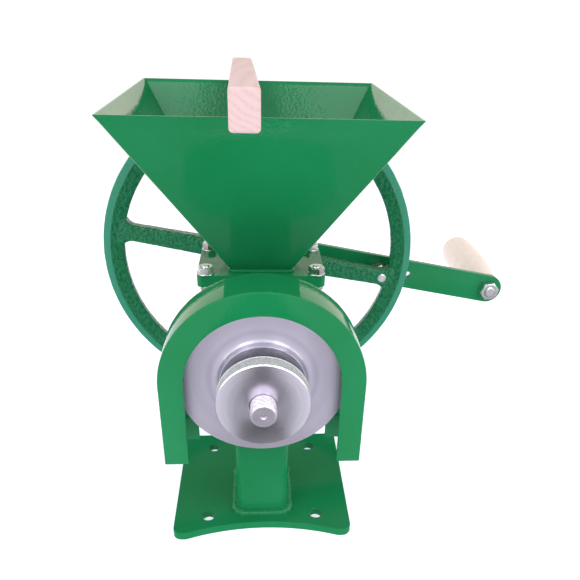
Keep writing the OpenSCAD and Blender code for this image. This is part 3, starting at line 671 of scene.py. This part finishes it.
outline = rounded([(knob["bore"], front + 0.9 * mm, 0), (knob["bore"] + 0.9 * mm, front, 0.2 * mm),
                   (knob["radius"] - 0.8 * mm, front, 0.2 * mm), (knob["radius"], front + 0.8 * mm, 0.2 * mm),
                   (knob["radius"], bandEnd - 0.6 * mm, 0.2 * mm),
                   (knob["radius"] - 0.7 * mm, bandEnd, 0.2 * mm),
                   (knob["groove"], bandEnd, 0), (knob["groove"], bandEnd + knob["grooveWide"], 0),
                   (knob["ring"], bandEnd + knob["grooveWide"], 0.2 * mm), (knob["ring"], back, 0.2 * mm),
                   (knob["recess"], back, 0.3 * mm), (knob["recess"], back - knob["recessDepth"], 0),
                   (knob["bore"], back - knob["recessDepth"], 0)], 3)
outermost = np.nonzero(outline[:, 0] > knob["radius"] - 0.01 * mm)[0]
first, last = outermost[[0, -1]]
bandHeights = np.linspace(outline[first, 1], outline[last, 1], knob["bandRows"])
bandPoints = np.stack([np.full(knob["bandRows"], knob["radius"]), bandHeights], axis=-1)
outline = np.vstack([outline[:first], bandPoints, outline[last + 1:]])
knobPiece = spun("adjustingKnob", outline, segments=knob["segments"], shape=knurl, loop=True, sharp=50)
place(knobPiece, "knob", "adjusting_knob", finish=polishedSteel)

# The knurled band has a finish of its own, and the ring behind it gets the dark shadedSteel as painted shade.
knobPiece.data.materials.append(knurledSteel)
knobPiece.data.materials.append(shadedSteel)
centres = np.empty(len(knobPiece.data.polygons) * 3)
knobPiece.data.polygons.foreach_get("center", centres)
centres = centres.reshape(-1, 3)
fromAxis = np.hypot(centres[:, 0], centres[:, 2] - axisZ)
behindBand = centres[:, 1] > bandEnd - 0.3 * mm
onBand = (fromAxis > knob["radius"] - 1.0 * mm) & (centres[:, 1] > front + 0.75 * mm) & ~behindBand
# Index 2, the ring behind the band, is painted shade.
knobFinishOrShade = np.where(onBand, 1, np.where(behindBand, 2, 0)).astype(np.int32)
knobPiece.data.polygons.foreach_set("material_index", knobFinishOrShade)
print("shaft, carrier and knob made")

# Arched guard: one folded section carried up, over and down.

guard = {"outer": 73 * mm, "opening": 55.5 * mm, "backOpening": 49.6 * mm, "front": 3 * mm, "band": 3 * mm,
         "back": 2.6 * mm, "ease": 1.1 * mm, "small": 0.5 * mm, "legSteps": 17, "archSteps": 121}
guardFront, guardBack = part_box("guard_front")[0].y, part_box("guard_back")[1].y
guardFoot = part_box("guard_front")[0].z
insideFront, insideBack = guardFront + guard["front"], guardBack - guard["back"]
insideBand = guard["outer"] - guard["band"]
section = rounded([(guard["outer"], guardFront, guard["ease"]), (guard["outer"], guardBack, guard["ease"]),
                   (guard["backOpening"], guardBack, guard["small"]),
                   (guard["backOpening"], insideBack, guard["small"]),
                   (insideBand, insideBack, guard["small"]), (insideBand, insideFront, guard["small"]),
                   (guard["opening"], insideFront, guard["small"]),
                   (guard["opening"], guardFront, guard["small"])], 5, True)
# Carried up one leg, round half a circle and down the other: turnAt is the angle, dropAt the leg's depth.
legs = np.linspace(guardFoot - axisZ, 0, guard["legSteps"] + 1)[:-1]
sweep = np.linspace(math.pi, 0, guard["archSteps"])
turnAt = np.concatenate([np.full(len(legs), math.pi), sweep, np.zeros(len(legs))])
dropAt = np.concatenate([legs, np.zeros(len(sweep)), legs[::-1]])
x = section[:, 0][None] * np.cos(turnAt)[:, None]
z = axisZ + section[:, 0][None] * np.sin(turnAt)[:, None] + dropAt[:, None]
y = np.broadcast_to(section[:, 1][None], x.shape)
place(gridMesh("arch", np.stack([x, y, z], axis=-1), loopCols=True, capRows=True), "guard",
      "guard_front", "guard_band", "guard_back")
print("guard made")

# Flywheel: rim, hub and four spokes.

wheel = {"outer": 160 * mm, "rim": 20.4 * mm, "front": 128.4 * mm, "deep": 14.3 * mm, "lip": 7 * mm,
         "dish": 5 * mm, "hub": 24 * mm, "hubBore": 9 * mm, "rough": 0.25 * mm, "edge": 2.6 * mm}
spoke = {"thick": 13 * mm, "setBack": 2.2 * mm, "atHub": 10.4 * mm, "atRim": 8.1 * mm, "flare": 7 * mm,
         "flareRun": 11 * mm, "rough": 0.3 * mm, "rows": 70}
wheelLow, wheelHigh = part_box("flywheel")
rimFront, rimBack = wheel["front"], wheel["front"] + wheel["deep"]
rimInner = wheel["outer"] - wheel["rim"]
section = rounded([(wheel["outer"], rimFront, 1.0 * mm), (wheel["outer"], rimBack, 1.4 * mm),
                   (rimInner + 1 * mm, rimBack, 1.6 * mm), (rimInner, rimFront + wheel["dish"], 1.6 * mm),
                   (wheel["outer"] - wheel["lip"], rimFront, 1.2 * mm)], 5, True)
section = finer(np.vstack([section, section[:1]]), 3 * mm)[:-1]


def sandCast(theta, radius, height):
    # The casting's unevenness, a few tenths of a millimetre.
    return radius - wheel["rough"] * (0.5 + 0.5 * ripple(theta * 90, height * 900, 11))


rim = spun("rim", section, segments=300, shape=sandCast, loop=True)
hubOutline = rounded([(wheel["hubBore"], wheelLow.y, 0), (wheel["hub"], wheelLow.y, 2 * mm),
                      (wheel["hub"], wheelHigh.y, 2 * mm), (wheel["hubBore"], wheelHigh.y, 0)], 5)
wheelParts = [rim, spun("hub", finer(hubOutline, 4 * mm), segments=96, loop=True)]


def spokeMesh(number):
    # A rounded rectangle carried outwards: its height tapers, and flares as a quarter circle near the rim
    # and, less, near the hub.
    along = np.linspace(wheel["hub"] - 6 * mm, rimInner + 7 * mm, spoke["rows"])
    share = (along - along[0]) / (along[-1] - along[0])
    half = spoke["atHub"] + (spoke["atRim"] - spoke["atHub"]) * share
    toRim = np.clip((along - (rimInner - spoke["flareRun"])) / spoke["flareRun"], 0, 1)
    toHub = np.clip((wheel["hub"] + spoke["flareRun"] - along) / spoke["flareRun"], 0, 1)
    half = half + spoke["flare"] * (1 - np.sqrt(1 - np.minimum(toRim, 0.97) ** 2))
    half = half + 0.6 * spoke["flare"] * (1 - np.sqrt(1 - np.minimum(toHub, 0.97) ** 2))
    thick = np.full(along.shape, spoke["thick"] / 2)
    u, v = roundedRing(half, thick, np.full(along.shape, wheel["edge"]), 5)
    cast = spoke["rough"] * ripple(along[:, None] * 300, (u + 3 * v) * 260, 20 + number)
    u, v = u - cast * np.sign(u) * 0.5, v - np.abs(cast) * np.sign(v) * 0.6
    angle = -crankDrop + number * math.pi / 2
    px = along[:, None] * math.cos(angle) - u * math.sin(angle)
    pz = axisZ + along[:, None] * math.sin(angle) + u * math.cos(angle)
    py = rimFront + spoke["setBack"] + spoke["thick"] / 2 + v
    return gridMesh("spoke", np.stack([px, py, pz], axis=-1), loopCols=True, capRows=True)


wheelParts += [spokeMesh(number) for number in range(4)]
place(joinMeshes("flywheelCasting", wheelParts), "crank", "flywheel")
print("flywheel made")

# Crank arm with its bolts, and the grip on its own bolt.

arm = {"ease": 0.9 * mm, "boltAt": (58 * mm, 134.5 * mm), "throw": 268 * mm, "boltFlats": 16 * mm,
       "spacerFlats": 17 * mm, "bolt": 5 * mm}
place(softened("crankArm", "crank_arm", arm["ease"]), "crank", "crank_arm")


def onCrank(reach):
    # A point on the arm's middle line, at a distance from the axis.
    return (reach * math.cos(crankDrop), 0, axisZ - reach * math.sin(crankDrop))


boltLow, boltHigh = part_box("arm_bolts")
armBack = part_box("crank_arm")[1].y
spacerLow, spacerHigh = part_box("arm_spacers")
shank = rounded([(0, boltLow.y, 0), (arm["bolt"] - 0.9 * mm, boltLow.y, 0.3 * mm),
                 (arm["bolt"], boltLow.y + 0.9 * mm, 0.3 * mm), (arm["bolt"], armBack, 0), (0, armBack, 0)])
headOutline = hexOutline(arm["boltFlats"], armBack, boltHigh.y)
spacerOutline = hexOutline(arm["spacerFlats"], spacerLow.y, spacerHigh.y, arm["bolt"])
shankParts, spacerParts = [], []
for reach in arm["boltAt"]:
    centre = onCrank(reach)
    shankParts.append(spun("shank", finer(shank, 0.8 * mm), centre, segments=64))
    shankParts.append(spun("head", headOutline, centre, segments=96, shape=hexLimit(arm["boltFlats"]),
                           turn=-crankDrop))
    spacerParts.append(spun("spacer", spacerOutline, centre, segments=96, shape=hexLimit(arm["spacerFlats"]),
                            loop=True, turn=-crankDrop))
place(joinMeshes("armBolts", shankParts), "crank", "arm_bolts")
place(joinMeshes("armSpacers", spacerParts), "crank", "arm_spacers")

handle = {"bolt": 6 * mm, "nutFlats": 19 * mm, "nutTwist": 10, "headFlats": 18 * mm, "headHigh": 7.5 * mm,
          "pitch": 1.75 * mm, "depth": 0.8 * mm, "threaded": 28 * mm, "washer": 12 * mm}
pivot = onCrank(arm["throw"])
rodLow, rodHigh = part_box("handle_bolt")
headLow = rodHigh.y - handle["headHigh"]
rod = rounded([(0, rodLow.y, 0), (handle["bolt"] - 1.1 * mm, rodLow.y, 0.3 * mm),
               (handle["bolt"], rodLow.y + 1.1 * mm, 0.3 * mm), (handle["bolt"], headLow, 0),
               (0, headLow, 0)])
rodThread = threadShape(handle["pitch"], handle["depth"], rodLow.y - 1 * mm, rodLow.y + handle["threaded"],
                        handle["bolt"])
rodPiece = spun("rod", finer(rod, 0.25 * mm), pivot, segments=48, shape=rodThread)
headPiece = spun("head", hexOutline(handle["headFlats"], headLow, rodHigh.y), pivot, segments=96,
                 shape=hexLimit(handle["headFlats"]), turn=-crankDrop)
place(joinMeshes("handleBolt", [rodPiece, headPiece]), "crank", "handle_bolt")
for node, name, twist in (("handle_nut", "handleNut", handle["nutTwist"]),
                          ("handle_jam_nut", "handleJamNut", 0)):
    low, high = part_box(node)
    nut = spun(name, hexOutline(handle["nutFlats"], low.y, high.y, handle["bolt"]), pivot, segments=96,
               shape=hexLimit(handle["nutFlats"]), loop=True, turn=-crankDrop - math.radians(twist))
    place(nut, "crank", node)
low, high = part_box("handle_washer")
outline = rounded([(handle["bolt"], low.y, 0.2 * mm), (handle["washer"], low.y, 0.4 * mm),
                   (handle["washer"], high.y, 0.4 * mm), (handle["bolt"], high.y, 0.2 * mm)], 3, True)
place(spun("handleWasher", outline, pivot, segments=96, loop=True), "crank", "handle_washer")

grip = {"radius": 20.4 * mm, "bore": 8 * mm, "counterbore": 11.5 * mm, "depth": 9 * mm, "edge": 2 * mm,
        "dome": 8 * mm, "start": 0.74, "swell": 0.26, "widest": 0.55, "narrow": 0.10, "rings": 6,
        "ringHeight": 0.03}
gripLow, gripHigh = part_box("hand_grip")
length = gripHigh.y - gripLow.y


def gripRadius(t):
    # Swells as a sine up to its widest place, draws in as a square, and carries low cosine rings.
    widest = grip["widest"]
    swelling = grip["swell"] * np.sin(math.pi / 2 * np.minimum(1, t / widest))
    narrowing = grip["narrow"] * (np.maximum(0, t - widest) / (1 - widest)) ** 2
    rings = grip["ringHeight"] * np.cos(full * grip["rings"] * t)
    return (grip["start"] + swelling - narrowing + rings) * grip["radius"] / (1 + grip["ringHeight"])


t = np.linspace(0, 1 - grip["dome"] / length, 120)
body = np.stack([gripRadius(t), gripLow.y + t * length], axis=-1)[3:]
angle = np.radians(np.arange(10, 81, 10))
domeCentre = (float(gripRadius(np.array(1.0))) - grip["dome"], gripHigh.y - grip["dome"])
domed = np.stack([domeCentre[0] + grip["dome"] * np.cos(angle),
                  domeCentre[1] + grip["dome"] * np.sin(angle)], axis=-1)
start = rounded([(grip["bore"], gripLow.y, 0), (body[0, 0] - 0.5 * mm, gripLow.y, grip["edge"]),
                 (*body[0], 0)], 6)
socket = [[grip["counterbore"], gripHigh.y - 0.2 * mm], [grip["counterbore"], gripHigh.y - grip["depth"]],
          [grip["bore"], gripHigh.y - grip["depth"]]]
outline = np.vstack([[[grip["bore"], gripLow.y]], start, body, domed, socket])
place(spun("woodenGrip", outline, pivot, segments=96, loop=True, sharp=60), "grip", "hand_grip")
print("crank and grip made")

# Loose bar across the hopper.

bar = {"ease": 2.2 * mm}
place(softened("woodenBar", "hopper_bar", bar["ease"], 4), "bar", "hopper_bar")

# Floor, room, lamps and camera.

def flatSheet(name, sides, depths, lift):
    # A level rectangle from its left and right, its near and far ends, and its height.
    (left, right), (near, far) = sides, depths
    mesh = bpy.data.meshes.new(name)
    mesh.from_pydata([(left, near, lift), (right, near, lift), (right, far, lift), (left, far, lift)],
                     [], [(0, 1, 2, 3)])
    sheet = bpy.data.objects.new(name, mesh)
    bpy.context.scene.collection.objects.link(sheet)
    return sheet


reach = 1.1  # half the floor's width
floor = flatSheet("floor", (-reach, reach), (-reach, reach), 0)
floorMaterial, floorTree, floorShader = startMaterial("paleFloor")
speckle = noise(floorTree, objectSpace(floorTree), scale=3.0, detail=2.0)
floorTree.links.new(ramp(floorTree, speckle, [(0.3, (0.90, 0.90, 0.93)), (0.7, (0.92, 0.92, 0.95))]),
                    floorShader.inputs["Base Color"])
floorShader.inputs["Roughness"].default_value = 0.7
floorShader.inputs["Emission Color"].default_value = (0.8, 0.85, 1.0, 1)
floorShader.inputs["Emission Strength"].default_value = 0.55
floor.data.materials.append(floorMaterial)

# The room: behind the object it is warm and bright near the horizon and dim overhead, before it a softer
# grey, and seen directly it is plain white.
world = bpy.data.worlds.new("studio")
bpy.context.scene.world = world
world.use_nodes = True
sky = world.node_tree
direction = addNode(sky, "ShaderNodeTexCoord")
heading = addNode(sky, "ShaderNodeSeparateXYZ", Vector=direction.outputs["Generated"])
upward = heading.outputs["Z"]
behind = ramp(sky, upward, [(0.0, (1.45, 1.34, 1.22)), (0.32, (1.30, 1.21, 1.10)), (0.55, (0.40, 0.38, 0.36)),
                            (1.0, (0.50, 0.50, 0.50))])
before = ramp(sky, upward, [(0.0, (0.80, 0.78, 0.80)), (0.35, (0.66, 0.65, 0.66)), (0.65, (0.80, 0.82, 0.84)),
                            (0.80, (1.00, 1.02, 1.05)), (1.0, (0.60, 0.60, 0.60))])
toBack = addNode(sky, "ShaderNodeMapRange", Value=heading.outputs["Y"])
toBack.inputs["From Min"].default_value = -0.5
toBack.inputs["From Max"].default_value = 0.3
room = addNode(sky, "ShaderNodeMixRGB", i0=toBack.outputs["Result"], i1=before, i2=behind).outputs[0]
direct = addNode(sky, "ShaderNodeLightPath")
seen = addNode(sky, "ShaderNodeMixRGB", i0=direct.outputs["Is Camera Ray"], i1=room, i2=(1.05, 1.05, 1.05, 1))
sky.links.new(seen.outputs[0], sky.nodes["Background"].inputs["Color"])
sky.nodes["Background"].inputs["Strength"].default_value = 1.0


def softbox(name, spotAt, size, power, colour):
    # A rectangular area light turned towards the middle of the object.
    light = bpy.data.lights.new(name, "AREA")
    light.shape = "RECTANGLE"
    light.size, light.size_y = size
    light.energy = power
    light.color = colour
    lamp = bpy.data.objects.new(name, light)
    lamp.location = spotAt
    lamp.rotation_euler = (Vector(axisPoint) - Vector(spotAt)).to_track_quat("-Z", "Y").to_euler()
    bpy.context.scene.collection.objects.link(lamp)


lamps = {"key": {"out": 0.95, "back": -1.05, "high": 1.65, "size": (0.7, 1.1), "power": 11},
         "side": {"out": 1.5, "back": -0.9, "high": 0.8, "size": (0.7, 1.2), "power": 5}}
for letter, side, tint in (("L", -1, (0.98, 0.99, 1.0)), ("R", 1, (1.0, 0.985, 0.97))):
    for kind, lamp in lamps.items():
        softbox(kind + "Light" + letter, (lamp["out"] * side, lamp["back"], lamp["high"]), lamp["size"],
                lamp["power"], tint)

# Cloths on the floor in front and pale panels overhead, seen only as reflections in paint and steel.
cloths = {"greyCloth": {"x": (-1.6, 1.6), "y": (-0.20, 0.25), "lift": 0.0005, "glow": 0.40},
          "paleCloth": {"x": (-1.6, 1.6), "y": (-1.6, -0.20), "lift": 0.0005, "glow": 0.85},
          "darkCloth": {"x": (-0.045, 0.045), "y": (-1.4, -0.27), "lift": 0.006, "glow": 0.03},
          "panelLeft": {"x": (-0.65, -0.06), "y": (-1.0, -0.30), "lift": 1.6, "glow": 4.0},
          "panelRight": {"x": (0.06, 0.65), "y": (-1.0, -0.30), "lift": 1.6, "glow": 4.0}}
for name, cloth in cloths.items():
    laid = flatSheet(name, cloth["x"], cloth["y"], cloth["lift"])
    clothMaterial, clothTree, clothShader = startMaterial(name)
    clothShader.inputs["Base Color"].default_value = (0, 0, 0, 1)
    clothShader.inputs["Roughness"].default_value = 1.0
    clothShader.inputs["Specular IOR Level"].default_value = 0.0
    weave = noise(clothTree, objectSpace(clothTree), scale=40.0, detail=2.0)
    clothTree.links.new(ramp(clothTree, weave, [(0.3, (0.92, 0.92, 1.0)), (0.7, (1.0, 0.98, 1.06))]),
                        clothShader.inputs["Emission Color"])
    clothShader.inputs["Emission Strength"].default_value = cloth["glow"]
    laid.data.materials.append(clothMaterial)
    laid.visible_camera = False
    laid.visible_diffuse = False
    laid.visible_shadow = False
    laid.visible_transmission = False

# The camera looks along yaw and pitch, rolled a little about that line.
view = {"place": (-0.00430, -0.4782, 0.4320), "yaw": 4.59, "pitch": 30.42, "roll": 1.85, "lens": 37.83,
        "shift": (-0.0151, 0.1177)}
yaw, pitch, roll = (math.radians(view[k]) for k in ("yaw", "pitch", "roll"))
forward = Vector((math.sin(yaw) * math.cos(pitch), math.cos(yaw) * math.cos(pitch), -math.sin(pitch)))
right = Vector((math.cos(yaw), -math.sin(yaw), 0))
up = right.cross(forward)
tiltedRight = right * math.cos(roll) + up * math.sin(roll)
tiltedUp = up * math.cos(roll) - right * math.sin(roll)
lens = bpy.data.cameras.new("camera")
lens.lens = view["lens"]
lens.sensor_width = 36
lens.shift_x, lens.shift_y = view["shift"]
lens.clip_start, lens.clip_end = 0.02, 100
camera = bpy.data.objects.new("camera", lens)
camera.matrix_world = Matrix.Translation(view["place"]) @ Matrix(
    (tiltedRight, tiltedUp, -forward)).transposed().to_4x4()
bpy.context.scene.collection.objects.link(camera)
bpy.context.scene.camera = camera
bpy.context.scene.view_settings.view_transform = "Standard"
print("stage, light and camera set")
